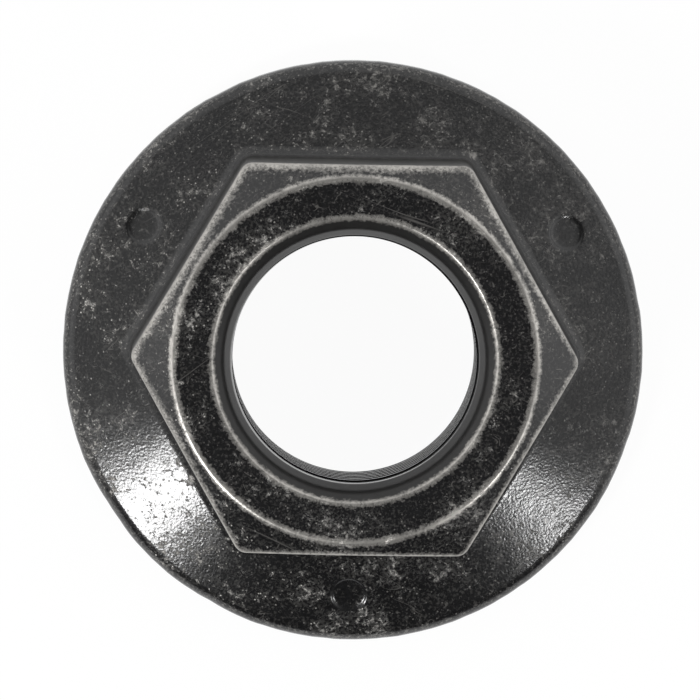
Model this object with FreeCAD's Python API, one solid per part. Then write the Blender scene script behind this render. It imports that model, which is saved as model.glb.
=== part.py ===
"""A hex flange nut, cold-forged and tapped as one piece of steel.

The origin is the centre of the bearing face. +Z runs along the thread axis towards the top of
the hexagon, and +X through one of its corners. Lengths are millimetres, angles are degrees.
"""

import math
import os

import FreeCAD
import Part

# Thread: metric fine. The bore is the cylinder that the thread's crests lie on.
THREAD_DIAMETER = 12.0
THREAD_PITCH = 1.25
CREST_DEPTH_IN_PITCHES = 1.0825  # basic minor diameter = thread diameter - 1.0825 pitches

# Hexagon
ACROSS_FLATS = 17.0
NUT_HEIGHT = 12.0
CORNER_ROUND = 0.6  # radius of the six upright edges, as the forging die fills
CHAMFER_ANGLE = 30.0  # slope of the cone that trims the top corners
CHAMFER_MARGIN = 0.55  # how far inside the flats the top face ends
TOP_EDGE_ROUND = 0.3  # between the top face and the chamfer
CROWN_ROUND = 0.25  # between the chamfer and the flats

# Flange
FLANGE_DIAMETER = 25.6
RIM_THICKNESS = 1.8
FLANGE_ANGLE = 20.0  # fall of the upper face towards the rim
RIM_ROUND = 0.8  # between the upper face and the rim
BEARING_MARGIN = 0.8  # how far inside the rim the flat bearing face ends
RIM_BEVEL_ANGLE = 30.0  # rise of the bevel from the bearing face to the rim
FOOT_ROUND = 0.8  # where the flats run out on the flange

# Countersinks, one at each end of the bore
COUNTERSINK_ANGLE = 90.0  # included angle
COUNTERSINK_OVERSIZE = 0.4  # how much wider each mouth is than the thread
MOUTH_ROUND = 0.25  # between the top face and its countersink

# Grade marks: shallow flat-bottomed dimples in the flange, in front of every second flat
MARK_COUNT = 3
MARK_DIAMETER = 1.55
MARK_DEPTH = 0.16
MARK_INSET = 2.05  # how far inside the rim the marks are centred
FIRST_MARK_ANGLE = 30.0

OVERSHOOT = 1.0  # how far a cutter runs past the surface that it cuts
SAME = 1e-4  # two lengths closer than this are the same

AXIS_FOOT = FreeCAD.Vector(0, 0, 0)
UP = FreeCAD.Vector(0, 0, 1)

bore_radius = (THREAD_DIAMETER - CREST_DEPTH_IN_PITCHES * THREAD_PITCH) / 2
mouth_radius = (THREAD_DIAMETER + COUNTERSINK_OVERSIZE) / 2
countersink_depth = (mouth_radius - bore_radius) / math.tan(math.radians(COUNTERSINK_ANGLE / 2))
flat_radius = ACROSS_FLATS / 2
corner_radius = flat_radius / math.cos(math.radians(30))
top_face_radius = flat_radius - CHAMFER_MARGIN
flange_radius = FLANGE_DIAMETER / 2
bearing_radius = flange_radius - BEARING_MARGIN
rim_bevel_height = BEARING_MARGIN * math.tan(math.radians(RIM_BEVEL_ANGLE))
mark_circle_radius = flange_radius - MARK_INSET


def flange_height(radius):
    """Height of the flange's conical upper face at a distance from the axis."""
    return RIM_THICKNESS + (flange_radius - radius) * math.tan(math.radians(FLANGE_ANGLE))


def chamfer_height(radius):
    """Height of the cone that trims the hexagon's corners, at a distance from the axis."""
    return NUT_HEIGHT - (radius - top_face_radius) * math.tan(math.radians(CHAMFER_ANGLE))


def turned(outline):
    """The solid that a closed outline sweeps round the axis.

    Each point of the outline is (radius, height, rounding). The seam falls at +Y, in the middle
    of a flat, where it crosses no corner.
    """
    points = [FreeCAD.Vector(0, radius, height) for radius, height, _ in outline]
    bends = []
    for k, corner in enumerate(points):
        rounding = outline[k][2]
        back = (points[k - 1] - corner).normalize()
        ahead = (points[(k + 1) % len(points)] - corner).normalize()
        half_angle = back.getAngle(ahead) / 2
        reach = rounding / math.tan(half_angle)
        rise = rounding / math.sin(half_angle) - rounding
        middle = corner + (back + ahead).normalize() * rise
        bends.append((corner + back * reach, middle, corner + ahead * reach, rounding))
    edges = []
    for k, (start, middle, end, rounding) in enumerate(bends):
        if rounding:
            edges.append(Part.Arc(start, middle, end).toShape())
        edges.append(Part.makeLine(end, bends[(k + 1) % len(bends)][0]))
    return Part.Face(Part.Wire(edges)).revolve(AXIS_FOOT, UP, 360)


def flange():
    """The round flange: a disc with a conical upper face, a rounded rim and a bevel under it."""
    return turned(
        [
            (0, 0, 0),
            (bearing_radius, 0, 0),
            (flange_radius, rim_bevel_height, 0),
            (flange_radius, RIM_THICKNESS, RIM_ROUND),
            (0, flange_height(0), 0),
        ]
    )


def hexagon():
    """The wrenching hexagon: a prism with rounded upright edges, its top trimmed by a cone."""
    corners = [
        FreeCAD.Vector(
            corner_radius * math.cos(math.radians(60 * k)),
            corner_radius * math.sin(math.radians(60 * k)),
            0,
        )
        for k in range(6)
    ]
    section = Part.Face(Part.makePolygon(corners + corners[:1]))
    prism = section.extrude(UP * NUT_HEIGHT)
    upright = [edge for edge in prism.Edges if abs(edge.tangentAt(edge.FirstParameter).z) > 0.9]
    prism = prism.makeFillet(CORNER_ROUND, upright)
    outer = corner_radius + OVERSHOOT
    envelope = turned(
        [
            (0, 0, 0),
            (outer, 0, 0),
            (outer, chamfer_height(outer), 0),
            (top_face_radius, NUT_HEIGHT, TOP_EDGE_ROUND),
            (0, NUT_HEIGHT, 0),
        ]
    )
    return prism.common(envelope)


def bore_cutter():
    """The bore with its two countersinks, carried past both faces."""
    spread = OVERSHOOT * math.tan(math.radians(COUNTERSINK_ANGLE / 2))
    return turned(
        [
            (0, -OVERSHOOT, 0),
            (mouth_radius + spread, -OVERSHOOT, 0),
            (bore_radius, countersink_depth, 0),
            (bore_radius, NUT_HEIGHT - countersink_depth, 0),
            (mouth_radius + spread, NUT_HEIGHT + OVERSHOOT, 0),
            (0, NUT_HEIGHT + OVERSHOOT, 0),
        ]
    )


def mark_cutter(angle):
    """One grade mark at that angle round the flange, square to the flange's slope."""
    slope = math.radians(FLANGE_ANGLE)
    turn = math.radians(angle)
    outward = FreeCAD.Vector(math.cos(turn), math.sin(turn), 0)
    square = outward * math.sin(slope) + UP * math.cos(slope)
    centre = outward * mark_circle_radius + UP * flange_height(mark_circle_radius)
    floor = centre - square * MARK_DEPTH
    return Part.makeCylinder(MARK_DIAMETER / 2, MARK_DEPTH + OVERSHOOT, floor, square)


def edges_where(shape, height_at, least_radius, most_radius):
    """The edges whose middles lie at the height given for their radius, between two radii."""
    found = []
    for edge in shape.Edges:
        middle = edge.valueAt((edge.FirstParameter + edge.LastParameter) / 2)
        radius = math.hypot(middle.x, middle.y)
        in_reach = least_radius - SAME < radius < most_radius + SAME
        if in_reach and abs(middle.z - height_at(radius)) < SAME:
            found.append(edge)
    return found


def flange_nut():
    """The whole nut, one solid."""
    body = flange().fuse(hexagon()).removeSplitter()
    foot = edges_where(body, flange_height, flat_radius, corner_radius)
    body = body.makeFillet(FOOT_ROUND, foot)
    crown = edges_where(body, chamfer_height, flat_radius, corner_radius)
    body = body.makeFillet(CROWN_ROUND, crown)
    body = body.cut(bore_cutter())
    mouth = edges_where(body, lambda radius: NUT_HEIGHT, mouth_radius, mouth_radius)
    body = body.makeFillet(MOUTH_ROUND, mouth)
    for k in range(MARK_COUNT):
        body = body.cut(mark_cutter(FIRST_MARK_ANGLE + 360 * k / MARK_COUNT))
    return body


nut = flange_nut()
print("flange nut:", len(nut.Solids), "solid, valid", nut.isValid(), "volume", round(nut.Volume, 1))
os.makedirs("parts", exist_ok=True)
nut.exportStep("parts/flange_nut.step")
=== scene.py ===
# %% [markdown]
# # A hex flange nut
#
# This lesson dresses one steel nut: a hexagon for the wrench, a broad conical flange under it,
# and a fine thread through the middle. A press forged it cold from one slug of steel, a tap cut
# the thread, and a hot salt bath turned its skin to black oxide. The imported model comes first,
# because it gives the frame that everything else has to fit.

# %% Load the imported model
import math

import bmesh
import bpy
import numpy as np
from mathutils import Matrix, Vector


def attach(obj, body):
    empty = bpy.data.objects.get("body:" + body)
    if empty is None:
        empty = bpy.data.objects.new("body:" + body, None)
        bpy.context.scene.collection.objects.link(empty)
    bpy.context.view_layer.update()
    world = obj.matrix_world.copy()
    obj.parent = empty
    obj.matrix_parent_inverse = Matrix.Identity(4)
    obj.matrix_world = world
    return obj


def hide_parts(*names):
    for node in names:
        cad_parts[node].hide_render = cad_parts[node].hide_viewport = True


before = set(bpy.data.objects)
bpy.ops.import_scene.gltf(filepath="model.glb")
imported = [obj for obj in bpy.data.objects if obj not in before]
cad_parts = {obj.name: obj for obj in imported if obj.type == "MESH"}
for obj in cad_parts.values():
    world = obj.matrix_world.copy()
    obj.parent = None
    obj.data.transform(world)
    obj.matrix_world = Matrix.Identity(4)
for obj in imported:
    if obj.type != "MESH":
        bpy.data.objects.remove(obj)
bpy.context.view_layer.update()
MM = 0.001  # one millimetre, in metres

# %% [markdown]
# Three small helpers serve the whole lesson. The first adds a node to any tree, sets what it is
# told and links what it is given. The second turns a colour as it is written in sRGB into the
# linear light that Blender works with. The third makes vectors one unit long. All sizes and
# places below are in millimetres, until a mesh, a lamp or the camera is placed.

# %% Helpers
def add_node(tree, kind, inputs=None, **settings):
    """A new node. Each input is a value, a socket, or a node whose first output it takes."""
    made = tree.nodes.new(kind)
    for name, value in settings.items():
        setattr(made, name, value)
    for name, value in (inputs or {}).items():
        if isinstance(value, bpy.types.Node):
            value = value.outputs[0]
        if isinstance(value, bpy.types.NodeSocket):
            tree.links.new(value, made.inputs[name])
        else:
            made.inputs[name].default_value = value
    return made


def linear(code):
    """The linear colour of an sRGB hex code."""
    parts = [int(code[k : k + 2], 16) / 255 for k in (1, 3, 5)]
    parts = [x / 12.92 if x <= 0.04045 else ((x + 0.055) / 1.055) ** 2.4 for x in parts]
    return (*parts, 1.0)


def unit(vectors):
    """The same vectors, one unit long."""
    return vectors / np.linalg.norm(vectors, axis=-1, keepdims=True)


print("helpers: add_node, linear, unit")

# %% [markdown]
# The camera hangs two thirds of a metre over the nut with a very long lens, as for a catalogue
# picture, so the flange hardly shrinks against the hexagon that stands nearer. It leans about two
# and a half degrees from the plumb line, which shows a sliver of the thread. Its place is worked
# out from the circles in the picture, which lie at two heights. Building its axes by hand keeps
# the small roll of the picture.

# %% Camera
CAMERA_AT = (-6.427, 28.905, 682.0)
CAMERA_AIM = (-0.128, 0.013, 1.5)
CAMERA_ROLL = 0.017613  # radians
LENS_LENGTH = 794.3

back = unit(np.subtract(CAMERA_AT, CAMERA_AIM))
right = unit(np.cross((-math.sin(CAMERA_ROLL), math.cos(CAMERA_ROLL), 0), back))
placing = np.eye(4)
placing[:3, :3] = np.stack([right, np.cross(back, right), back], axis=1)
placing[:3, 3] = np.multiply(CAMERA_AT, MM)

camera_data = bpy.data.cameras.new("camera")
camera_data.lens = LENS_LENGTH
camera_data.sensor_width = 36
camera_data.clip_start = 0.01
camera = bpy.data.objects.new("camera", camera_data)
camera.matrix_world = Matrix(placing.tolist())
bpy.context.scene.collection.objects.link(camera)
bpy.context.scene.camera = camera
print("camera leans", round(math.degrees(math.acos(back[2])), 2), "degrees from the plumb line")

# %% [markdown]
# ## The outline of the nut
#
# Cut the nut in half and its outline is a list of corners: the lip, throat and mouth of the
# countersink, the edge of the top face, the crown where the chamfer meets a flat, the foot where
# the flat runs out on the flange, the rim, a bevel under it and the flat bearing face. The sizes
# are the ones of the CAD source. Only the countersink is finer here: a steep cone below the
# 45-degree one, which mirrors the white floor through the bore.

# %% Sizes
ACROSS_FLATS = 17.0
NUT_HEIGHT = 12.0
CORNER_ROUND = 0.6
TOP_FACE_RADIUS = 7.95
CHAMFER_TILT = math.radians(30)
FLANGE_RADIUS = 12.798  # a hair less than the solid's 12.8, so that no facet stands out of it
FLANGE_TILT = math.radians(20)
RIM_THICKNESS = 1.8
BEARING_RADIUS = 12.0
BEVEL_TILT = math.radians(30)
BEVEL_HEIGHT = (FLANGE_RADIUS - BEARING_RADIUS) * math.tan(BEVEL_TILT)
MOUTH_RADIUS = 6.2
THROAT = (5.73, 0.47)  # radius, and depth below either face
LIP = (5.42, 1.22)


def flange_height(radius):
    """Height of the flange's cone at a distance from the axis."""
    return RIM_THICKNESS + (FLANGE_RADIUS - radius) * math.tan(FLANGE_TILT)


def chamfer_height(radius):
    """Height of the cone that trims the corners at a distance from the axis."""
    return NUT_HEIGHT - (radius - TOP_FACE_RADIUS) * math.tan(CHAMFER_TILT)


print("cone meets the middle of a flat", round(flange_height(ACROSS_FLATS / 2), 2), "mm up")

# %% [markdown]
# A hexagon is a circle whose radius changes as you walk round it, so the whole nut can be one
# grid of rows and columns, like the map of a globe. Each column stands in a half plane through
# the axis. They crowd together at the six upright corners, because the rounding there is small,
# and they spread over the flats. On a flat the half plane cuts the surface at a slant. The number
# kept as squeeze says how much longer a rounding looks along that slant.

# %% Columns round the hexagon
CORNER_STEPS = 8
FLAT_STEPS = 40
PER_SIXTH = CORNER_STEPS + FLAT_STEPS
COLUMNS = 6 * PER_SIXTH
COS_30 = math.cos(math.radians(30))
SAME_ANGLE = 1e-6

arc_centre = (ACROSS_FLATS / 2 - CORNER_ROUND) / COS_30
arc_end = math.degrees(math.atan2(CORNER_ROUND / 2, arc_centre + CORNER_ROUND * COS_30))
half_corner = CORNER_STEPS // 2
fan = np.interp(
    np.arange(PER_SIXTH),
    [0, half_corner, PER_SIXTH - half_corner, PER_SIXTH],
    [0, arc_end, 60 - arc_end, 60],
)
fan_angles = np.radians(np.concatenate([fan + 60 * sixth for sixth in range(6)]))
even_angles = np.radians(np.arange(COLUMNS) * 360 / COLUMNS)

from_corner = np.abs((np.degrees(fan_angles) + 30) % 60 - 30)
slant = np.radians(30 - from_corner)
off_arc = arc_centre * np.sin(np.radians(from_corner))
on_corner = from_corner < arc_end - SAME_ANGLE
arc_reach = np.sqrt(np.maximum(CORNER_ROUND**2 - off_arc**2, 0))
hexagon_radius = np.where(
    on_corner,
    arc_centre * np.cos(np.radians(from_corner)) + arc_reach,
    ACROSS_FLATS / 2 / np.cos(slant),
)
squeeze = np.where(on_corner, arc_reach / CORNER_ROUND, np.cos(slant))
print(COLUMNS, "columns, widest", round(2 * hexagon_radius.max(), 2), "mm over the corners")

# %% [markdown]
# Cold forging leaves no sharp corner, and a rounding is what catches a line of light along an
# edge. The helper below lays an arc that touches both lines of a corner, in every column at
# once. A bevel modifier could do it too, but here the arc follows the slant of each column, and
# we know later which row is the middle of which edge, where the wear will be.

# %% A rounded corner
def rounded(before, corner, after, rounding, steps, squeezed):
    """Rows of points along an arc that touches the lines corner-before and corner-after."""
    scale = np.stack([squeezed, np.ones(COLUMNS)], axis=1)
    towards_before = unit((before - corner) * scale)
    towards_after = unit((after - corner) * scale)
    half = np.arccos(np.sum(towards_before * towards_after, axis=1, keepdims=True)) / 2
    centre = unit(towards_before + towards_after) * rounding / np.sin(half)
    first = towards_before * rounding / np.tan(half) - centre
    last = towards_after * rounding / np.tan(half) - centre
    sweep = math.pi - 2 * half
    rows = []
    for part in np.linspace(0, 1, steps + 1):
        arm = first * np.sin((1 - part) * sweep) + last * np.sin(part * sweep)
        rows.append(corner + (centre + arm / np.sin(sweep)) / scale)
    return rows


def at(radius, height):
    """One corner of the outline in every column, as (radius, height)."""
    return np.stack(np.broadcast_arrays(radius + 0.0 * fan_angles, height), axis=1)


print("helpers: rounded, at")

# %% [markdown]
# Now the outline itself. Each line holds a corner, its rounding, the number of steps round it
# and the number of steps to the next corner. Steps lie closer together at the ends of a run, so
# that a flat face stays flat in the light right up to its rounding. The rows on the two ring
# faces slide from the crowded columns of the hexagon to the even ones of the thread.

# %% Rows from lip to lip
corners = {
    "lip": (at(LIP[0], NUT_HEIGHT - LIP[1]), 0.08, 2, 4),
    "throat": (at(THROAT[0], NUT_HEIGHT - THROAT[1]), 0.8, 4, 4),
    "mouth": (at(MOUTH_RADIUS, NUT_HEIGHT), 0.25, 6, 10),
    "top edge": (at(TOP_FACE_RADIUS, NUT_HEIGHT), 0.3, 4, 10),
    "crown": (at(hexagon_radius, chamfer_height(hexagon_radius)), 0.25, 6, 10),
    "foot": (at(hexagon_radius, flange_height(hexagon_radius)), 0.8, 8, 24),
    "rim": (at(FLANGE_RADIUS, RIM_THICKNESS), 0.8, 8, 3),
    "bevel": (at(FLANGE_RADIUS, BEVEL_HEIGHT), 0.12, 2, 3),
    "bearing edge": (at(BEARING_RADIUS, 0), 0.1, 2, 12),
    "bearing mouth": (at(MOUTH_RADIUS, 0), 0.08, 2, 4),
    "bearing throat": (at(*THROAT), 0.8, 4, 4),
    "bearing lip": (at(*LIP), 0.08, 2, 0),
}
names = list(corners)
points = [at(LIP[0], NUT_HEIGHT / 2)]
points += [corners[name][0] for name in names] + [at(LIP[0], NUT_HEIGHT / 2)]

arcs = []
for k, name in enumerate(names):
    _, rounding, steps, _ = corners[name]
    squeezed = squeeze if name in ("crown", "foot") else np.ones(COLUMNS)
    arcs.append(rounded(points[k], points[k + 1], points[k + 2], rounding, steps, squeezed))

rows, evenness, middle_row, run_start = [], [], {}, {}
for k, name in enumerate(names):
    is_even = 1.0 if name.endswith(("lip", "throat", "mouth")) else 0.0
    middle_row[name] = len(rows) + corners[name][2] // 2
    rows += arcs[k]
    evenness += [is_even] * len(arcs[k])
    run_start[name] = len(rows) - 1
    steps = corners[name][3]
    for step in range(1, steps):
        part = (1 - math.cos(math.pi * step / steps)) / 2
        rows.append(arcs[k][-1] * (1 - part) + arcs[k + 1][0] * part)
        slide = {"mouth": 1 - part, "bearing edge": part}.get(name, is_even)
        evenness.append(slide)

rows = np.array(rows)
evenness = np.array(evenness)[:, None]
radius, height = rows[..., 0], rows[..., 1]
angles = evenness * even_angles + (1 - evenness) * fan_angles
foot_end = round(radius[run_start["foot"], PER_SIXTH // 2], 2)
print(len(rows), "rows; in the middle of a flat the foot ends at", foot_end, "mm")

# %% [markdown]
# A nut that has been tipped into a box has small flats knocked into its rim. Each one here pulls
# the rim in by a few hundredths of a millimetre over a few degrees. Three sines of different
# lengths make the rest of the rim uneven by up to two hundredths, as the trimming tool left it.

# %% Knocks in the rim
# azimuth (degrees), depth (mm), half width (degrees)
knocks = [(214, 0.06, 6), (241, 0.05, 4), (340, 0.03, 5), (118, 0.02, 3), (12, 0.02, 3)]
RIM_STARTS, RIM_FADE = 12.1, 0.6
ROUGH_BY = 0.004
near_rim = np.clip((radius - RIM_STARTS) / RIM_FADE, 0, 1) ** 2 * (height > 0.1)
for azimuth, dent, half_width in knocks:
    apart = (np.degrees(angles) - azimuth + 180) % 360 - 180
    radius = radius - dent * np.exp(-((apart / half_width) ** 2)) * near_rim
turns = fan_angles[None, :]
rough_rim = ROUGH_BY * (np.sin(37 * turns) + np.sin(61 * turns + 2) + np.sin(89 * turns + 4) + 3)
radius = radius - rough_rim * near_rim
print(len(knocks), "knocks, the deepest", max(k[1] for k in knocks), "mm")

# %% [markdown]
# Wear follows the shape, so the grid also measures itself. For every point we take its distance
# along the outline from the rings round the mouth and the top face, from the crown and from the
# rim, and keep it as a closeness that is one on the edge and nothing 1.5 mm away. The crown's
# closeness reaches further on the far, upper-left side and less on the near side. That is partly
# real wear and partly a painted sheen where the room's light catches the edge. Two numbers tell the
# flats and the countersinks apart, where tools slid. The last one says which faces get rubbed: the
# cone, the top and the chamfer fully, the underside and the flats less, the foot not at all.

# %% Measure closeness to the edges
REACH = 1.5
CONE_STARTS, CONE_FADE = 0.55, 0.3  # before the foot's end, along the outline
WALL_STARTS, WALL_FADE = 4.2, 0.6  # heights
WALL_RUB, UNDERSIDE_RUB = 0.35, 0.7
along = np.zeros(radius.shape)
along[1:] = np.cumsum(np.hypot(np.diff(radius, axis=0), np.diff(height, axis=0)), axis=0)


def closeness(*edges, width=1.0):
    """One on the nearest of the edges, fading to nothing at the reach times the width."""
    gaps = [np.abs(along - along[middle_row[edge]]) for edge in edges]
    return np.clip(1 - np.min(gaps, axis=0) / (REACH * width), 0, 1)


row_number = np.arange(len(rows))[:, None] + np.zeros(COLUMNS)
crown_row, foot_row, rim_row = (middle_row[name] for name in ("crown", "foot", "rim"))
on_top = (row_number <= crown_row) & (row_number >= middle_row["mouth"])
on_cone = (row_number >= foot_row) & (row_number < rim_row)
foot_edge = along[run_start["foot"]]
cone_part = np.clip((along - foot_edge + CONE_STARTS) / CONE_FADE, 0, 1)
below = np.where(row_number >= rim_row, UNDERSIDE_RUB, 0.0)
on_wall = (row_number > crown_row) & (row_number < foot_row)
in_sink = (row_number < middle_row["mouth"]) | (row_number > middle_row["bearing mouth"])
wall_rub = WALL_RUB * np.clip((height - WALL_STARTS) / WALL_FADE, 0, 1)
elsewhere = np.where(on_wall, wall_rub, below)
measures = {
    "mouth": closeness("mouth"),
    "shoulder": closeness("top edge"),
    # Partly painted sheen: the crown's band is wider towards 120 degrees, where light catches the
    # edge.
    "crown": closeness("crown", width=0.72 + 0.28 * np.cos(angles - math.radians(120))),
    "rim": closeness("rim", "bevel", "bearing edge"),
    "wall": on_wall * 1.0,
    "sink": in_sink * 1.0,
    "rubbed": np.where(on_top, 1.0, np.where(on_cone, cone_part, elsewhere)),
}
print("measures kept:", ", ".join(measures))

# %% [markdown]
# Now the grid becomes points in space. The flange also carries punched dimples, one in front of
# every second flat, the marks of the nut's strength grade. A round dimple doesn't fit a square
# grid, so a block of 15 by 15 points round each mark is bent into rings: the points at equal
# distance from the middle, counted as a king moves, become one circle. Each circle then sinks
# along the normal of the cone. Inside a dimple the skin is rubbed less.

# %% Points, with the dimples punched in
xyz = np.stack([radius * np.cos(angles), radius * np.sin(angles), height], axis=-1)

MARK_RADIUS = 10.75
ROWS_TO_MARK = 13  # from the end of the foot to the middle of a mark
DIMPLE_RINGS = 6  # rings inside a dimple; the outer ones lie on the cone round it
DIMPLE_RUB = 0.4
ring_sizes = np.array([0, 0.35, 0.60, 0.69, 0.735, 0.78, 0.83, 0.96])
ring_depths = np.array([0.08, 0.08, 0.078, 0.068, 0.04, 0.013, 0.003, 0])
BLOCK = len(ring_sizes)

i, j = np.meshgrid(np.arange(-BLOCK + 1, BLOCK), np.arange(-BLOCK + 1, BLOCK))
king = np.maximum(np.abs(i), np.abs(j))
wide = np.abs(i) >= np.abs(j)
ratio = np.where(wide, j / np.where(i == 0, 1, i), i / np.where(j == 0, 1, j))
turn = np.where(wide, ratio * math.pi / 4, math.pi / 2 - ratio * math.pi / 4)
turn = turn + np.where(np.where(wide, i, j) < 0, math.pi, 0)
size, depth = ring_sizes[king], ring_depths[king]

mark_angles = (30, 150, 270)
middle = run_start["foot"] + ROWS_TO_MARK
for mark_angle in mark_angles:
    a = math.radians(mark_angle)
    outward = np.array([math.cos(a), math.sin(a), 0])
    sideways = np.array([-math.sin(a), math.cos(a), 0])
    square = outward * math.sin(FLANGE_TILT) + np.array([0, 0, math.cos(FLANGE_TILT)])
    to_side = (size * np.cos(turn))[..., None] * sideways
    to_rim = (size * np.sin(turn) * math.cos(FLANGE_TILT))[..., None] * outward
    bent = outward * MARK_RADIUS + to_side + to_rim
    bent[..., 2] = flange_height(np.hypot(bent[..., 0], bent[..., 1]))
    bent -= square * depth[..., None]
    column = PER_SIXTH // 2 + round((mark_angle - 30) / 60) * PER_SIXTH
    xyz[middle + j, column + i] = bent
    measures["rubbed"][middle + j, column + i] *= np.where(king < DIMPLE_RINGS, DIMPLE_RUB, 1.0)
dimple_width = 2 * ring_sizes[DIMPLE_RINGS - 1]
print(len(mark_angles), "dimples,", dimple_width, "mm wide and", ring_depths[0], "mm deep")

# %% [markdown]
# The points become a mesh of four-sided faces, and the measures ride along as attributes that
# the material can read. The mesh is still open at the two countersinks, where the thread starts.

# %% Shell of the nut
def grid_faces(row_count, column_count):
    """Faces between neighbouring rows of a grid that closes on itself sideways."""
    r, c = np.meshgrid(np.arange(row_count - 1), np.arange(column_count), indexing="ij")
    ahead = (c + 1) % column_count
    first = r * column_count
    quad = [first + c, first + ahead, first + column_count + ahead, first + column_count + c]
    return np.stack(quad, axis=-1).reshape(-1, 4)


shell = bpy.data.meshes.new("shell")
shell.from_pydata((xyz.reshape(-1, 3) * MM).tolist(), [], grid_faces(*radius.shape).tolist())
for name, values in measures.items():
    attribute = shell.attributes.new(name, "FLOAT", "POINT")
    attribute.data.foreach_set("value", values.astype(np.float32).ravel())
print("shell:", len(shell.vertices), "points,", len(shell.polygons), "faces")

# %% [markdown]
# ## The thread
#
# The thread is a shape that follows a rule, which is what Geometry Nodes are for. We take a flat
# grid, call one side the turn and the other the pitches, and roll it up: the angle is the turn,
# the height is the pitch times the sum of both, and the radius comes from where a point lies
# between two crests. The rise of one pitch for one turn towards +Z makes it right-handed. Rows
# past an end fold flat on its ring and are merged away.

# %% Tree for the thread
thread_tree = bpy.data.node_groups.new("tapped_thread", "GeometryNodeTree")
given = {}
for name, kind in (
    ("Crest radius", "NodeSocketFloat"),
    ("Root radius", "NodeSocketFloat"),
    ("Pitch", "NodeSocketFloat"),
    ("Lip radius", "NodeSocketFloat"),
    ("Run-out", "NodeSocketFloat"),
    ("Bottom ring", "NodeSocketFloat"),
    ("Top ring", "NodeSocketFloat"),
    ("Lead", "NodeSocketFloat"),
    ("Pitches", "NodeSocketInt"),
    ("Steps round", "NodeSocketInt"),
    ("Rows in a pitch", "NodeSocketInt"),
    ("Merge within", "NodeSocketFloat"),
    ("Material", "NodeSocketMaterial"),
):
    given[name] = thread_tree.interface.new_socket(name, in_out="INPUT", socket_type=kind)
thread_tree.interface.new_socket("Thread", in_out="OUTPUT", socket_type="NodeSocketGeometry")
source = add_node(thread_tree, "NodeGroupInput").outputs
print("inputs:", ", ".join(given))

# %% [markdown]
# The grid is one unit wide and one unit long for each pitch, so its own x and y already are the
# turn and the pitch number. It starts one pitch below the nut, and the lead turns the whole
# helix, which sets where the thread first shows in the mouth.

# %% Turn and height of each point
math_kind = "ShaderNodeMath"
columns_drawn = add_node(
    thread_tree, math_kind, {0: source["Steps round"], 1: 1.0}, operation="ADD"
)
row_steps = add_node(
    thread_tree,
    math_kind,
    {0: source["Pitches"], 1: source["Rows in a pitch"]},
    operation="MULTIPLY",
)
rows_drawn = add_node(thread_tree, math_kind, {0: row_steps, 1: 1.0}, operation="ADD")
sheet = add_node(
    thread_tree,
    "GeometryNodeMeshGrid",
    {
        "Size X": 1.0,
        "Size Y": source["Pitches"],
        "Vertices X": columns_drawn,
        "Vertices Y": rows_drawn,
    },
)
sheet_point = add_node(thread_tree, "GeometryNodeInputPosition")
on_sheet = add_node(thread_tree, "ShaderNodeSeparateXYZ", {0: sheet_point}).outputs
turn_node = add_node(thread_tree, math_kind, {0: on_sheet["X"], 1: 0.5}, operation="ADD")
half_way = add_node(thread_tree, math_kind, {0: source["Pitches"], 1: 0.5}, operation="MULTIPLY")
from_middle = add_node(thread_tree, math_kind, {0: on_sheet["Y"], 1: half_way}, operation="ADD")
pitch_number = add_node(thread_tree, math_kind, {0: from_middle, 1: 1.0}, operation="SUBTRACT")
climb = add_node(thread_tree, math_kind, {0: pitch_number, 1: turn_node}, operation="ADD")
started = add_node(thread_tree, math_kind, {0: climb, 1: source["Lead"]}, operation="SUBTRACT")
risen = add_node(
    thread_tree,
    math_kind,
    {0: started, 1: source["Pitch"], 2: source["Bottom ring"]},
    operation="MULTIPLY_ADD",
)
level = add_node(
    thread_tree,
    "ShaderNodeClamp",
    {"Value": risen, "Min": source["Bottom ring"], "Max": source["Top ring"]},
)
print("heights run from ring to ring")

# %% [markdown]
# The standard profile has flanks at 60 degrees, a crest an eighth of a pitch to each side of its
# middle and a root half as wide. A ping-pong of the pitch number gives the distance from the
# middle of the nearest crest, and one Map Range turns that distance into the radius. A second
# one lets the thread grow to its full depth over the run-out at each end.

# %% Radius of each point
from_crest = add_node(thread_tree, math_kind, {0: pitch_number, 1: 0.5}, operation="PINGPONG")
profile = add_node(
    thread_tree,
    "ShaderNodeMapRange",
    {
        "Value": from_crest,
        "From Min": 1 / 8,
        "From Max": 1 / 2 - 1 / 16,
        "To Min": source["Crest radius"],
        "To Max": source["Root radius"],
    },
)
from_bottom = add_node(
    thread_tree, math_kind, {0: level, 1: source["Bottom ring"]}, operation="SUBTRACT"
)
from_top = add_node(
    thread_tree, math_kind, {0: source["Top ring"], 1: level}, operation="SUBTRACT"
)
from_end = add_node(thread_tree, math_kind, {0: from_bottom, 1: from_top}, operation="MINIMUM")
reach = add_node(
    thread_tree,
    "ShaderNodeMapRange",
    {
        "Value": from_end,
        "From Max": source["Run-out"],
        "To Min": source["Lip radius"],
        "To Max": profile,
    },
    interpolation_type="SMOOTHSTEP",
)
turned = add_node(thread_tree, math_kind, {0: turn_node, 1: math.tau}, operation="MULTIPLY")
across = add_node(thread_tree, math_kind, {0: turned}, operation="COSINE")
sideways_node = add_node(thread_tree, math_kind, {0: turned}, operation="SINE")
x = add_node(thread_tree, math_kind, {0: reach, 1: across}, operation="MULTIPLY")
y = add_node(thread_tree, math_kind, {0: reach, 1: sideways_node}, operation="MULTIPLY")
print("full depth starts one run-out from either end")

# %% [markdown]
# The points move to their places, the seam and the folded rows merge, and the tree ends in plain
# geometry with a material, because instances are dropped when a model is exported.

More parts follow.
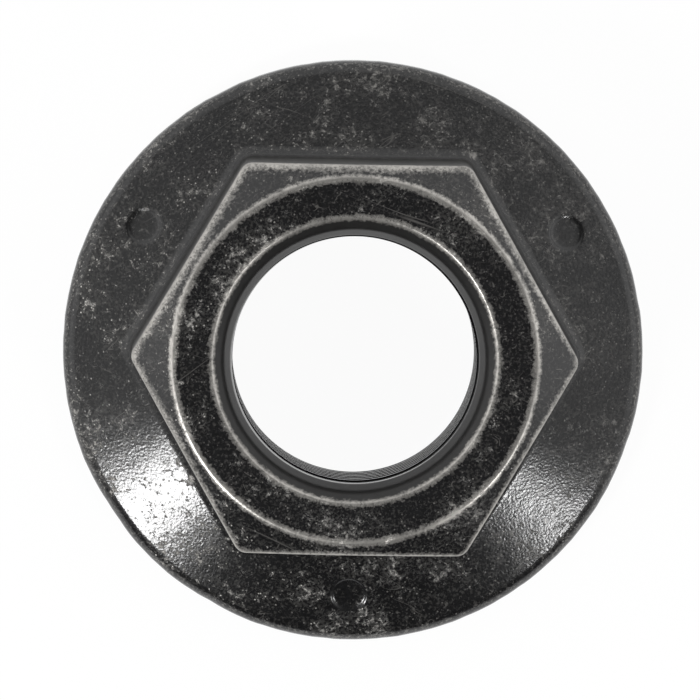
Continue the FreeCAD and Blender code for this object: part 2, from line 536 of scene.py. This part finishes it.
# %% Rolled up and merged
rolled = add_node(
    thread_tree,
    "GeometryNodeSetPosition",
    {
        "Geometry": sheet.outputs["Mesh"],
        "Position": add_node(thread_tree, "ShaderNodeCombineXYZ", {0: x, 1: y, 2: level}),
    },
)
merged = add_node(
    thread_tree,
    "GeometryNodeMergeByDistance",
    {"Geometry": rolled, "Distance": source["Merge within"]},
)
plain = add_node(thread_tree, "GeometryNodeRealizeInstances", {"Geometry": merged})
painted = add_node(
    thread_tree, "GeometryNodeSetMaterial", {"Geometry": plain, "Material": source["Material"]}
)
add_node(thread_tree, "NodeGroupOutput", {"Thread": painted})
print(len(thread_tree.nodes), "nodes in the thread's tree")

# %% [markdown]
# The thread is M12 with the fine pitch of 1.25 mm. The bore of the CAD solid is the cylinder of
# its crests. The rings at the two ends are the last rows of the shell, and the steps round are
# the shell's columns, so the two meshes meet point for point. Evaluated once, the result is
# copied to a plain mesh and the modifier goes.

# %% Cut the thread
oxide = bpy.data.materials.new("black_oxide_on_forged_steel")
ring_top, ring_bottom = rows[0, 0], rows[-1, 0]
thread_sizes = {
    "Crest radius": 5.3234 * MM,
    "Root radius": 6.0 * MM,
    "Pitch": 1.25 * MM,
    "Lip radius": ring_top[0] * MM,
    "Run-out": 0.9 * MM,
    "Bottom ring": ring_bottom[1] * MM,
    "Top ring": ring_top[1] * MM,
    "Lead": 0.25,
    "Pitches": 12,
    "Steps round": COLUMNS,
    "Rows in a pitch": 16,
    "Merge within": 0.004 * MM,
    "Material": oxide,
}
blank = bpy.data.objects.new("thread_blank", bpy.data.meshes.new("thread_blank"))
bpy.context.scene.collection.objects.link(blank)
roll = blank.modifiers.new("thread", "NODES")
roll.node_group = thread_tree
for name, value in thread_sizes.items():
    roll[given[name].identifier] = value
ready = bpy.context.evaluated_depsgraph_get()
thread_mesh = bpy.data.meshes.new_from_object(blank.evaluated_get(ready), depsgraph=ready)
blank.modifiers.remove(roll)
bpy.data.objects.remove(blank)
on_thread = np.array([v.co[:] for v in thread_mesh.vertices])
crest = round(np.hypot(*on_thread.T[:2]).min() / MM, 3)
print("thread:", len(thread_mesh.vertices), "points, the crests at a radius of", crest, "mm")

# %% [markdown]
# Shell and thread are joined and their shared rings merged. Now the skin must be closed: every
# edge has exactly two faces. Only then does it make sense to turn all normals outwards, and the
# volume of the closed mesh tells whether that worked.

# %% One closed nut
MELT_WITHIN, TOO_SHORT = 0.003 * MM, 0.0005 * MM
joined = bmesh.new()
joined.from_mesh(shell)
joined.from_mesh(thread_mesh)
bmesh.ops.remove_doubles(joined, verts=joined.verts, dist=MELT_WITHIN)
bmesh.ops.dissolve_degenerate(joined, edges=joined.edges, dist=TOO_SHORT)
bmesh.ops.recalc_face_normals(joined, faces=joined.faces)
for face in joined.faces:
    face.smooth = True
open_edges = sum(len(edge.link_faces) != 2 for edge in joined.edges)
volume = joined.calc_volume(signed=True) / MM**3
nut_mesh = bpy.data.meshes.new("nut")
joined.to_mesh(nut_mesh)
joined.free()
nut_mesh.materials.clear()
nut_mesh.materials.append(oxide)
nut = bpy.data.objects.new("nut", nut_mesh)
bpy.context.scene.collection.objects.link(nut)
triangles = sum(len(face.vertices) - 2 for face in nut_mesh.polygons)
print("closed nut:", triangles, "triangles,", open_edges, "open edges,", round(volume, 1), "mm3")

# %% [markdown]
# ## The finish
#
# Black oxide is the steel's own skin, a micrometre of magnetite with oil in it, so it is nearly
# black, it isn't a metal to the light, and what shows of it is mostly its sheen. Where the skin
# is rubbed away, bare steel shines through as a metal. The whole finish is therefore one mask
# that fades from skin to steel. Patterns are drawn in millimetres on Object coordinates.

# %% Coordinates and measures for the material
oxide.use_nodes = True
skin = oxide.node_tree
skin.nodes.clear()
object_point = add_node(skin, "ShaderNodeTexCoord").outputs["Object"]
in_mm = add_node(
    skin, "ShaderNodeMapping", {"Vector": object_point, "Scale": (1 / MM, 1 / MM, 1 / MM)}
)
measured = {
    name: add_node(skin, "ShaderNodeAttribute", attribute_name=name).outputs["Fac"]
    for name in measures
}
print("the material reads", ", ".join(measured))

# %% [markdown]
# The steel was etched before it was blackened, so it is grainy. The grains are less than a tenth
# of a millimetre wide. Each one faces its own way, and that breaks a lamp's reflection into
# sparks. The skin is also a little thinner on some grains than on others. A slower noise says
# where the surface was handled more, and all marks below crowd together there.

# %% Grain
GRAIN_SCALE = 7.5
HANDLED = {"From Min": 0.42, "From Max": 0.60}  # from untouched to much handled
grain = add_node(
    skin,
    "ShaderNodeTexNoise",
    {"Vector": in_mm, "Scale": GRAIN_SCALE, "Detail": 3.0, "Roughness": 0.6, "Distortion": 0.2},
)
handled = add_node(
    skin, "ShaderNodeTexNoise", {"Vector": in_mm, "Scale": 0.4, "Detail": 5.0, "Roughness": 0.7}
)
grain_level = add_node(
    skin,
    "ShaderNodeMapRange",
    {"Value": handled, **HANDLED, "To Min": 0.52, "To Max": 0.38},
)
grain_range = {"Value": grain, "From Min": grain_level, "From Max": 0.85, "To Max": 0.14}
thin_on_grains = add_node(skin, "ShaderNodeMapRange", grain_range)
print("grains about", round(0.55 / GRAIN_SCALE, 2), "mm wide")

# %% [markdown]
# Tumbling with other nuts leaves flecks: tiny ragged spots where the skin is thin. They are the
# islands of a fine noise that stand above a level, and the level sinks where the nut was handled.
# Harder knocks leave small round pits, which crowd together there too. A Voronoi texture scatters
# points through space, and the surface shows a dot wherever it passes within a few hundredths of a
# millimetre of one. A slope across the nut scales both, so that flecks and pits crowd towards the
# lower-left lamp. There their bare steel stands in for the lamp's sparkle: a painted highlight on
# top of real marks.

# %% Flecks and pits
FLECK_SCALE = 3.4
PIT_SCALE = 3.8
PIT_EDGE, PIT_HEART = 0.19, 0.03  # distances from a point, in cells of the Voronoi texture
# Painted highlight: flecks and pits crowd towards the lower-left lamp and stand in for its sparkle.
LAMP_SPARKLE_SIDE = math.radians(205)
fleck_noise = add_node(
    skin,
    "ShaderNodeTexNoise",
    {"Vector": in_mm, "Scale": FLECK_SCALE, "Detail": 5.0, "Roughness": 0.8, "Distortion": 0.4},
)
fleck_level = add_node(
    skin,
    "ShaderNodeMapRange",
    {"Value": handled, **HANDLED, "To Min": 0.66, "To Max": 0.51},
)
above_level = add_node(skin, math_kind, {0: fleck_noise, 1: fleck_level}, operation="SUBTRACT")
flecks = add_node(skin, "ShaderNodeMapRange", {"Value": above_level, "From Max": 0.15})
scattered = add_node(skin, "ShaderNodeTexVoronoi", {"Vector": in_mm, "Scale": PIT_SCALE})
pit_range = {"Value": scattered, "From Min": PIT_EDGE, "From Max": PIT_HEART}
pits = add_node(skin, "ShaderNodeMapRange", pit_range)
crowd_range = {"Value": handled, "From Min": 0.40, "From Max": 0.58, "To Min": 0.3, "To Max": 1.2}
crowding = add_node(skin, "ShaderNodeMapRange", crowd_range)
pits = add_node(skin, math_kind, {0: pits, 1: crowding}, operation="MULTIPLY")
spots = add_node(skin, math_kind, {0: flecks, 1: pits}, operation="MAXIMUM")
sparkle_way = (math.cos(LAMP_SPARKLE_SIDE), math.sin(LAMP_SPARKLE_SIDE), 0)
across_nut = add_node(
    skin, "ShaderNodeVectorMath", {0: in_mm, 1: sparkle_way}, operation="DOT_PRODUCT"
).outputs["Value"]
rim_to_rim = {"Value": across_nut, "From Min": -BEARING_RADIUS, "From Max": BEARING_RADIUS}
# More bare specks towards the lamp, a painted sparkle.
more_toward_lamp = add_node(skin, "ShaderNodeMapRange", {**rim_to_rim, "To Min": 0.6, "To Max": 1.6})
spots = add_node(skin, math_kind, {0: spots, 1: more_toward_lamp}, operation="MULTIPLY")
pit_width = round(2 * PIT_EDGE / PIT_SCALE, 2)
print("flecks from", FLECK_SCALE, "waves in a millimetre, pits up to", pit_width, "mm wide")

# %% [markdown]
# Between the flecks lie short curled scratches and a few long straight ones. A curled scratch is
# a contour line of a soft noise, cut into pieces by a second noise. A straight one is a contour
# line of a noise that is stretched twenty times along one direction. Real scratches are finer
# than the 0.05 mm drawn here, which is about one dot of the picture.

# %% Scratches
CUT_FADE = 0.06
# turned by (degrees), size of the noise along and across (mm), shift (mm), and as values of the
# noises: half width of the contour line, and the level below which it is cut away
families = [
    (0, 0.6, 0.6, 0.0, 0.030, 0.61),
    (0, 0.35, 0.35, 31.0, 0.030, 0.66),
    (38, 14.0, 0.7, 7.0, 0.008, 0.61),
    (-21, 14.0, 0.8, 19.0, 0.008, 0.63),
]
scratched = None
for turned_by, length, width, shift, half_width, left_out in families:
    moved = add_node(
        skin,
        "ShaderNodeMapping",
        {
            "Vector": in_mm,
            "Location": (shift, shift, 0),
            "Rotation": (0, 0, math.radians(turned_by)),
            "Scale": (length, width, 1.0),
        },
        vector_type="TEXTURE",
    )
    contours = add_node(
        skin,
        "ShaderNodeTexNoise",
        {"Vector": moved, "Scale": 1.0, "Detail": 1.5, "Distortion": 0.5 if length < 1 else 0.0},
    )
    cutting = add_node(skin, "ShaderNodeTexNoise", {"Vector": moved, "Scale": 1.7, "Detail": 1.0})
    off_line = add_node(skin, math_kind, {0: contours, 1: 0.5}, operation="SUBTRACT")
    gap = add_node(skin, math_kind, {0: off_line}, operation="ABSOLUTE")
    line = add_node(
        skin,
        "ShaderNodeMapRange",
        {"Value": gap, "From Max": half_width, "To Min": 1.0, "To Max": 0.0},
    )
    cut_range = {"Value": cutting, "From Min": left_out, "From Max": left_out + CUT_FADE}
    piece = add_node(skin, "ShaderNodeMapRange", cut_range)
    drawn = add_node(skin, math_kind, {0: line, 1: piece}, operation="MULTIPLY")
    if scratched:
        drawn = add_node(skin, math_kind, {0: scratched, 1: drawn}, operation="MAXIMUM")
    scratched = drawn
print(len(families), "families of scratches")

# %% [markdown]
# The flats slid along the die as the hexagon was pressed, and that left fine upright lines on
# them. They are a noise that is stretched along the axis.

# %% Lines drawn by the die
DIE_LINE = (0.12, 0.12, 9.0)
die_place = add_node(
    skin, "ShaderNodeMapping", {"Vector": in_mm, "Scale": DIE_LINE}, vector_type="TEXTURE"
)
die_noise = add_node(
    skin, "ShaderNodeTexNoise", {"Vector": die_place, "Scale": 1.0, "Detail": 3.0, "Roughness": 0.6}
)
die_range = {"Value": die_noise, "From Min": 0.45, "From Max": 0.75}
die_lines = add_node(skin, "ShaderNodeMapRange", die_range)
die_lines = add_node(skin, math_kind, {0: die_lines, 1: measured["wall"]}, operation="MULTIPLY")
print("lines about", DIE_LINE[0], "mm wide and", DIE_LINE[2], "mm long")

# %% [markdown]
# Edges are polished by wear: the rings round the mouth and the top face, the crown of the
# hexagon and, faintly, the rim. Each band fades over the width given here in millimetres,
# measured by the closeness that the mesh carries. A noise eats into it, the grain shows in it as
# light and dark, and it is stronger where the nut was handled more. A ceiling of a few times the
# band's own strength keeps the grain from shining outside it.

# %% Worn edges
RAGGED_BY = 0.3
GRAIN_SHARE = 1.5
BAND_CEILING = 4.0
ragged = add_node(
    skin, "ShaderNodeTexNoise", {"Vector": in_mm, "Scale": 2.4, "Detail": 3.0, "Roughness": 0.6}
)
bands = {}
for name, faded_width, strength in (
    ("mouth", 0.28, 1.05),
    ("shoulder", 0.29, 1.20),
    ("crown", 0.62, 1.00),
    ("rim", 0.35, 0.32),
):
    eating = {0: ragged, 1: RAGGED_BY / REACH, 2: measured[name]}
    eaten = add_node(skin, math_kind, eating, operation="MULTIPLY_ADD")
    bands[name] = add_node(
        skin,
        "ShaderNodeMapRange",
        {
            "Value": eaten,
            "From Min": 1 + (RAGGED_BY / 2 - faded_width) / REACH,
            "From Max": 1 + RAGGED_BY / 2 / REACH,
            "To Max": strength,
        },
    )
edges = bands["rim"]
for name in ("mouth", "shoulder", "crown"):
    edges = add_node(skin, math_kind, {0: edges, 1: bands[name]}, operation="MAXIMUM")
grain_added = {0: grain, 1: GRAIN_SHARE, 2: edges}
with_grain = add_node(skin, math_kind, grain_added, operation="MULTIPLY_ADD")
polished = add_node(
    skin, "ShaderNodeMapRange", {"Value": with_grain, "From Min": 1.0, "From Max": 1.85}
)
wear_range = {"Value": handled, "From Min": 0.40, "From Max": 0.60, "To Min": 0.75, "To Max": 1.25}
wear_here = add_node(skin, "ShaderNodeMapRange", wear_range)
polished = add_node(skin, math_kind, {0: polished, 1: wear_here}, operation="MULTIPLY")
near_edge = add_node(skin, math_kind, {0: edges, 1: BAND_CEILING}, operation="MULTIPLY")
polished = add_node(skin, math_kind, {0: polished, 1: near_edge}, operation="MINIMUM")
print("worn bands:", ", ".join(bands))

# %% [markdown]
# The masks add up to one number, how bare the steel is. Flecks, pits and scratches only thin the
# skin, so they count for less than the polished edges, and the flats and countersinks keep a
# little scuffing from wrench and bolt. The skin itself is mottled between two blacks.

# %% How bare the steel is
SPOT_SHARE, SCRATCH_SHARE, DIE_SHARE, TOOL_SHARE = 0.62, 0.20, 0.05, 0.03
thin_skin = add_node(skin, math_kind, {0: spots, 1: SPOT_SHARE}, operation="MULTIPLY")
thin_lines = add_node(skin, math_kind, {0: scratched, 1: SCRATCH_SHARE}, operation="MULTIPLY")
marks = add_node(skin, math_kind, {0: thin_skin, 1: thin_lines}, operation="MAXIMUM")
marks = add_node(skin, math_kind, {0: marks, 1: thin_on_grains}, operation="MAXIMUM")
on_faces = add_node(skin, math_kind, {0: marks, 1: measured["rubbed"]}, operation="MULTIPLY")
die_scuff = {0: die_lines, 1: DIE_SHARE, 2: on_faces}
scuffed = add_node(skin, math_kind, die_scuff, operation="MULTIPLY_ADD")
tooled = add_node(
    skin, math_kind, {0: measured["wall"], 1: measured["sink"]}, operation="MAXIMUM"
)
tool_scuff = {0: tooled, 1: TOOL_SHARE, 2: scuffed}
scuffed = add_node(skin, math_kind, tool_scuff, operation="MULTIPLY_ADD")
bare = add_node(skin, math_kind, {0: scuffed, 1: polished}, operation="MAXIMUM")
mottled = add_node(
    skin, "ShaderNodeMapRange", {"Value": fleck_noise, "From Min": 0.35, "From Max": 0.7}
)
OXIDE_DARK, OXIDE_PALE, STEEL = "#09090a", "#1a1a1b", "#b5b2ad"
skin_colour = add_node(
    skin,
    "ShaderNodeMixRGB",
    {"Fac": mottled, "Color1": linear(OXIDE_DARK), "Color2": linear(OXIDE_PALE)},
)
colour = add_node(
    skin, "ShaderNodeMixRGB", {"Fac": bare, "Color1": skin_colour, "Color2": linear(STEEL)}
)
print("oxide", OXIDE_DARK, "to", OXIDE_PALE, "and bare steel", STEEL)

# %% [markdown]
# The grain becomes bump, a few thousandths of a millimetre high, with a slow unevenness from the
# forging under it. Flecks and pits sink in with steep sides, which spark far outside a lamp's
# reflection. The foot was pressed smooth by the tools, and the dimples nearly so. The skin is
# glossy on each grain, and rougher where it is worn or scuffed. The index of refraction stays at
# the default of 1.5, which suits an oiled skin, and bare steel keeps the default anyway.

# %% Relief and the finished material
SKIN_ROUGHNESS, STEEL_ROUGHNESS = 0.17, 0.38
SPOT_DEPTH = 1.3  # in heights of a facet
BUMP_HEIGHT = 0.0065 * MM
rougher = add_node(
    skin,
    "ShaderNodeMapRange",
    {"Value": bare, "To Min": SKIN_ROUGHNESS, "To Max": STEEL_ROUGHNESS},
)
for name, added in (("wall", 0.25), ("sink", 0.13)):
    dull = {0: measured[name], 1: added, 2: rougher}
    rougher = add_node(skin, math_kind, dull, operation="MULTIPLY_ADD")
grain_depth = add_node(
    skin, "ShaderNodeMapRange", {"Value": measured["rubbed"], "To Min": 0.12, "To Max": 1.0}
)
facets = add_node(skin, "ShaderNodeTexNoise", {"Vector": in_mm, "Scale": 9.0, "Detail": 1.0})
sunk = {0: spots, 1: -SPOT_DEPTH, 2: facets}
pitted = add_node(skin, math_kind, sunk, operation="MULTIPLY_ADD")
grain_height = add_node(skin, math_kind, {0: pitted, 1: grain_depth}, operation="MULTIPLY")
uneven = add_node(skin, "ShaderNodeTexNoise", {"Vector": in_mm, "Scale": 0.9, "Detail": 1.0})
height_map = add_node(skin, math_kind, {0: uneven, 1: grain_height}, operation="ADD")
relief = add_node(skin, "ShaderNodeBump", {"Distance": BUMP_HEIGHT, "Height": height_map})
shader = add_node(
    skin,
    "ShaderNodeBsdfPrincipled",
    {"Base Color": colour, "Metallic": bare, "Roughness": rougher, "IOR": 1.5, "Normal": relief},
)
add_node(skin, "ShaderNodeOutputMaterial", {"Surface": shader})
print(len(skin.nodes), "nodes in the finish")

# %% [markdown]
# ## The studio
#
# The nut rests on a plain pale floor. To the camera, and in reflections, the floor is nearly as
# bright as white paper under full light, and a small share of it still takes the nut's shadow.
# To all other light it is plain pale card. The floor lies a fiftieth of a millimetre low, because
# two surfaces in one plane would flicker, and it is clear from below, so that the bearing face
# can be looked at.

# %% Floor
FLOOR_HALF = 1.5  # metres
FLOOR_HEIGHT = -0.02 * MM
SHADOW_SHARE = 0.045
CARD = "#e6e6e6"
corner_signs = ((-1, -1), (1, -1), (1, 1), (-1, 1))
floor_corners = [(x * FLOOR_HALF, y * FLOOR_HALF, FLOOR_HEIGHT) for x, y in corner_signs]
floor_mesh = bpy.data.meshes.new("floor")
floor_mesh.from_pydata(floor_corners, [], [(0, 1, 2, 3)])
card = bpy.data.materials.new("pale_card")
card.use_nodes = True
paper = card.node_tree
paper.nodes.clear()
rays = add_node(paper, "ShaderNodeLightPath").outputs
seen = add_node(
    paper, math_kind, {0: rays["Is Camera Ray"], 1: rays["Is Glossy Ray"]}, operation="MAXIMUM"
)
seen = add_node(paper, math_kind, {0: seen, 1: rays["Is Transmission Ray"]}, operation="MAXIMUM")
lit = add_node(paper, "ShaderNodeBsdfDiffuse", {"Color": linear(CARD)})
shadow_grey = (SHADOW_SHARE, SHADOW_SHARE, SHADOW_SHARE, 1)
shadowed = add_node(paper, "ShaderNodeBsdfDiffuse", {"Color": shadow_grey})
white_light = {"Color": (1, 1, 1, 1), "Strength": 1 - SHADOW_SHARE}
glow = add_node(paper, "ShaderNodeEmission", white_light)
shown = add_node(paper, "ShaderNodeAddShader", {0: glow, 1: shadowed})
both = add_node(paper, "ShaderNodeMixShader", {0: seen, 1: lit, 2: shown})
from_below = add_node(paper, "ShaderNodeNewGeometry").outputs["Backfacing"]
clear = add_node(paper, "ShaderNodeBsdfTransparent")
surface = add_node(paper, "ShaderNodeMixShader", {0: from_below, 1: both, 2: clear})
add_node(paper, "ShaderNodeOutputMaterial", {"Surface": surface})
floor_mesh.materials.append(card)
floor = bpy.data.objects.new("floor", floor_mesh)
bpy.context.scene.collection.objects.link(floor)
print("floor", 2 * FLOOR_HALF, "m square")

# %% [markdown]
# A polished cone mirrors a lamp as a bar of light along its slope, on the side that the lamp is
# on. The camera's ray turned about the cone's normal gives the direction to hang the lamp in.
# One lamp stands at the lower left and a weaker one at the lower right.

# %% Lamps
GLINT_RADIUS, GLINT_HEIGHT = 11, 2.5  # where on the cone the middle of the reflection lies


def lamp(name, azimuth, lowered, away, width, brightness):
    """A square lamp mirrored by the flange at that azimuth, lowered by so many degrees."""
    a = math.radians(azimuth)
    tilt = FLANGE_TILT + math.radians(lowered) / 2
    normal = Vector((math.cos(a) * math.sin(tilt), math.sin(a) * math.sin(tilt), math.cos(tilt)))
    glint_x, glint_y = math.cos(a) * GLINT_RADIUS, math.sin(a) * GLINT_RADIUS
    glint = Vector((glint_x * MM, glint_y * MM, GLINT_HEIGHT * MM))
    to_camera = (Vector(CAMERA_AT) * MM - glint).normalized()
    direction = (2 * normal.dot(to_camera) * normal - to_camera).normalized()
    data = bpy.data.lights.new(name, "AREA")
    data.shape = "SQUARE"
    data.size = width * MM
    data.energy = brightness * math.pi * (width * MM) ** 2
    made = bpy.data.objects.new(name, data)
    made.location = glint + direction * away * MM
    made.rotation_euler = direction.to_track_quat("Z", "Y").to_euler()
    bpy.context.scene.collection.objects.link(made)
    return made


lamps = [
    lamp("lower_left", azimuth=218, lowered=0, away=400, width=75, brightness=43),
    lamp("lower_right", azimuth=321, lowered=4, away=400, width=45, brightness=46),
]
print("lamps at", [[round(x, 3) for x in item.location] for item in lamps])

# %% [markdown]
# The rest of the light comes from the room: bright card walls all round except at the near side,
# a little brighter at the two sides, and a dim ceiling where the camera hangs. The flat top
# mirrors the dim ceiling and stays dark, while the cone and the chamfer mirror the walls. Just
# over the floor the walls fade to its own white, so that no line shows between them. The camera
# itself sees plain white.

# %% Room
WALL, CEILING, NEAR_SIDE, SIDE_EXTRA = 1.13, 0.15, 0.08, 0.60  # white paper is 1
world = bpy.data.worlds.new("room")
bpy.context.scene.world = world
world.use_nodes = True
room = world.node_tree
room.nodes.clear()
look = add_node(
    room, "ShaderNodeSeparateXYZ", {0: add_node(room, "ShaderNodeTexCoord").outputs["Generated"]}
)
upwards = {"Value": look.outputs["Z"], "From Min": 0.55, "From Max": 0.97}
upward_light = add_node(
    room,
    "ShaderNodeMapRange",
    {**upwards, "To Min": WALL, "To Max": CEILING},
    interpolation_type="SMOOTHSTEP",
)
sideness = add_node(
    room, math_kind, {0: look.outputs["X"], 1: look.outputs["X"]}, operation="MULTIPLY"
)
side_light = add_node(
    room, math_kind, {0: sideness, 1: SIDE_EXTRA, 2: upward_light}, operation="MULTIPLY_ADD"
)
low = {"Value": look.outputs["Z"], "From Min": 0.03, "From Max": 0.2}
horizon = add_node(
    room,
    "ShaderNodeMapRange",
    {**low, "To Min": 1.0, "To Max": side_light},
    interpolation_type="SMOOTHSTEP",
)
near_side = add_node(
    room,
    "ShaderNodeMapRange",
    {"Value": look.outputs["Y"], "From Min": -0.75, "From Max": -0.05, "To Min": NEAR_SIDE},
    interpolation_type="SMOOTHSTEP",
)
all_round = add_node(room, math_kind, {0: horizon, 1: near_side}, operation="MULTIPLY")
to_camera_rays = add_node(room, "ShaderNodeLightPath").outputs["Is Camera Ray"]
strength = add_node(
    room, "ShaderNodeMapRange", {"Value": to_camera_rays, "To Min": all_round, "To Max": 1.0}
)
background = {"Color": (1, 1, 1, 1), "Strength": strength}
glow_all_round = add_node(room, "ShaderNodeBackground", background)
add_node(room, "ShaderNodeOutputWorld", {"Surface": glow_all_round})
bpy.context.scene.view_settings.view_transform = "Standard"
print("room: walls", WALL, "ceiling", CEILING, "near side", NEAR_SIDE)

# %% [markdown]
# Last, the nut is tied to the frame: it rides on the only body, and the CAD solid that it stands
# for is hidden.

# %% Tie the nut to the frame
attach(nut, "root")
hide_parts("flange_nut")
